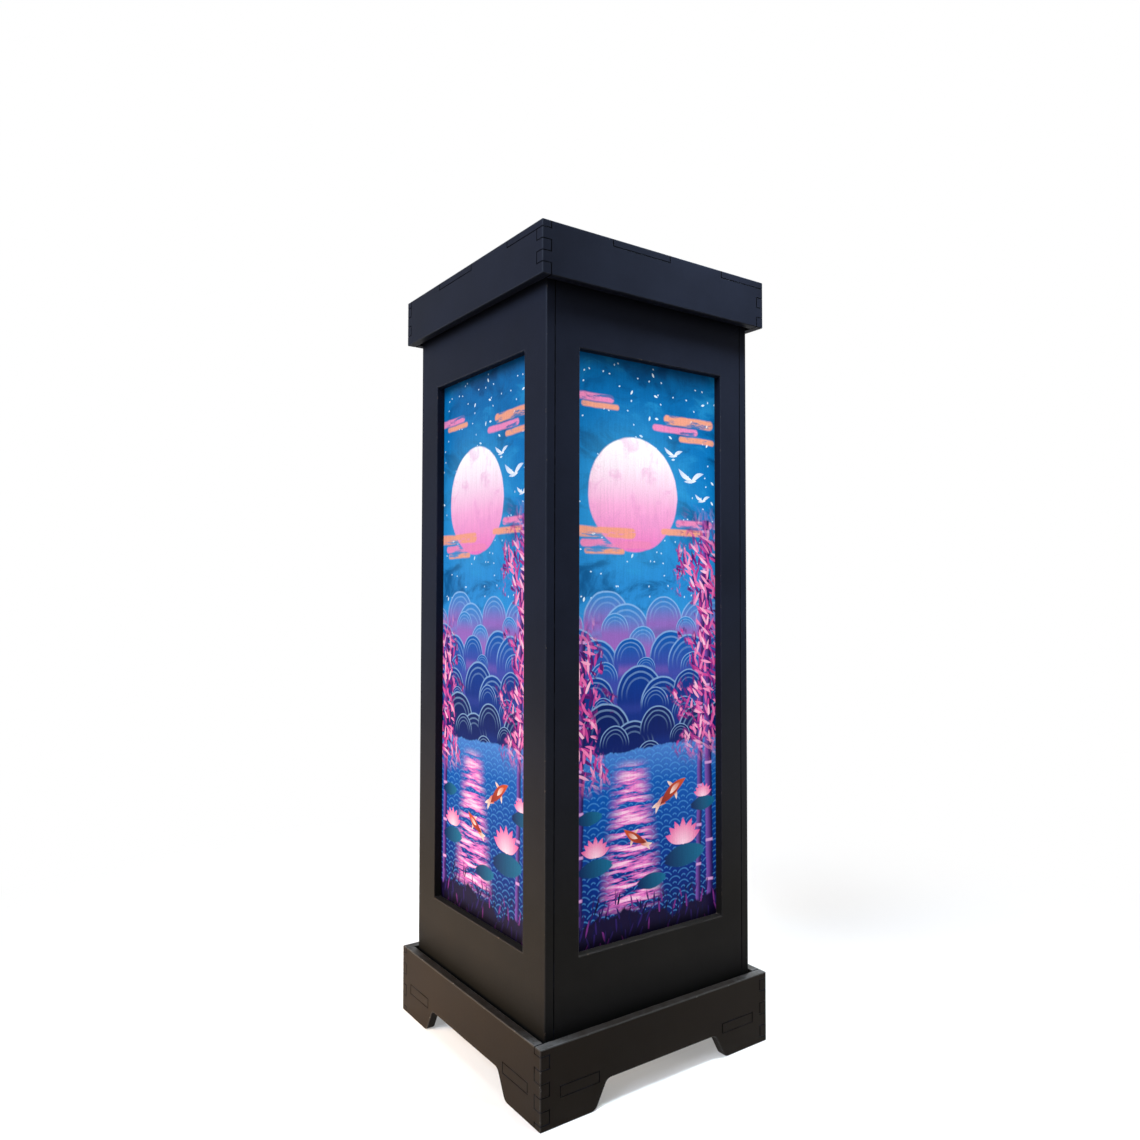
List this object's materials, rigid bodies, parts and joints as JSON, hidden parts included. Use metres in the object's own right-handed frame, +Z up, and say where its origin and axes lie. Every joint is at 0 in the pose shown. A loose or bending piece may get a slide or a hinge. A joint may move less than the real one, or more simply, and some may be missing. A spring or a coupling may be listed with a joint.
{
  "type": "table lamp",
  "caption": "Square wooden lantern table lamp: finger-jointed black base and lift-off cap, window panels with back-lit printed sheets, screw-in bulb inside.",
  "frame": {"origin": "on the table, under the middle of the lamp", "axes": "+Z up, -Y towards the front window, +X to the right of someone facing the front"},
  "size_m": [0.12, 0.12, 0.34],
  "materials": {
    "black_wood": "plywood in matte black paint",
    "print_sheet": "translucent acrylic with a printed picture, lit from behind",
    "post_wood": "bare planed softwood",
    "grommet_rubber": "smooth moulded",
    "holder_plastic": "moulded",
    "contact_brass": "pressed",
    "screw_steel": "zinc plated",
    "insulator_black": "moulded",
    "cap_nickel": "nickel plated",
    "bulb_white": "moulded",
    "board_aluminium": "plain",
    "chip_yellow": "moulded",
    "globe_opal": "opal"
  },
  "bodies": {
    "lamp": {"base_floor": "black_wood", "cord_grommet": "grommet_rubber", "base_front_wall": "black_wood", "base_right_wall": "black_wood", "base_back_wall": "black_wood", "base_left_wall": "black_wood", "body_front_panel": "black_wood", "body_right_panel": "black_wood", "body_back_panel": "black_wood", "body_left_panel": "black_wood", "print_front": "print_sheet", "print_right": "print_sheet", "print_back": "print_sheet", "print_left": "print_sheet", "post_front_left": "post_wood", "post_front_right": "post_wood", "post_back_right": "post_wood", "post_back_left": "post_wood", "holder_body": "holder_plastic", "holder_shell": "contact_brass", "holder_contact": "contact_brass", "holder_screws": "screw_steel"},
    "cap": {"cap_top": "black_wood", "cap_front_wall": "black_wood", "cap_right_wall": "black_wood", "cap_back_wall": "black_wood", "cap_left_wall": "black_wood"},
    "bulb": {"bulb_tip": "contact_brass", "bulb_insulator": "insulator_black", "bulb_screw_cap": "cap_nickel", "bulb_housing": "bulb_white", "led_board": "board_aluminium", "led_chips": "chip_yellow", "bulb_globe": "globe_opal"}
  },
  "joints": [
    {"name": "cap_lift", "type": "slide", "parent": "lamp", "child": "cap", "axis": [0, 0, 1], "range_m": [0, 0.06]},
    {"name": "bulb_turn", "type": "hinge", "parent": "lamp", "child": "bulb", "pos_m": [0, 0, 0.06], "axis": [0, 0, 1], "range_deg": [0, 990]}
  ]
}
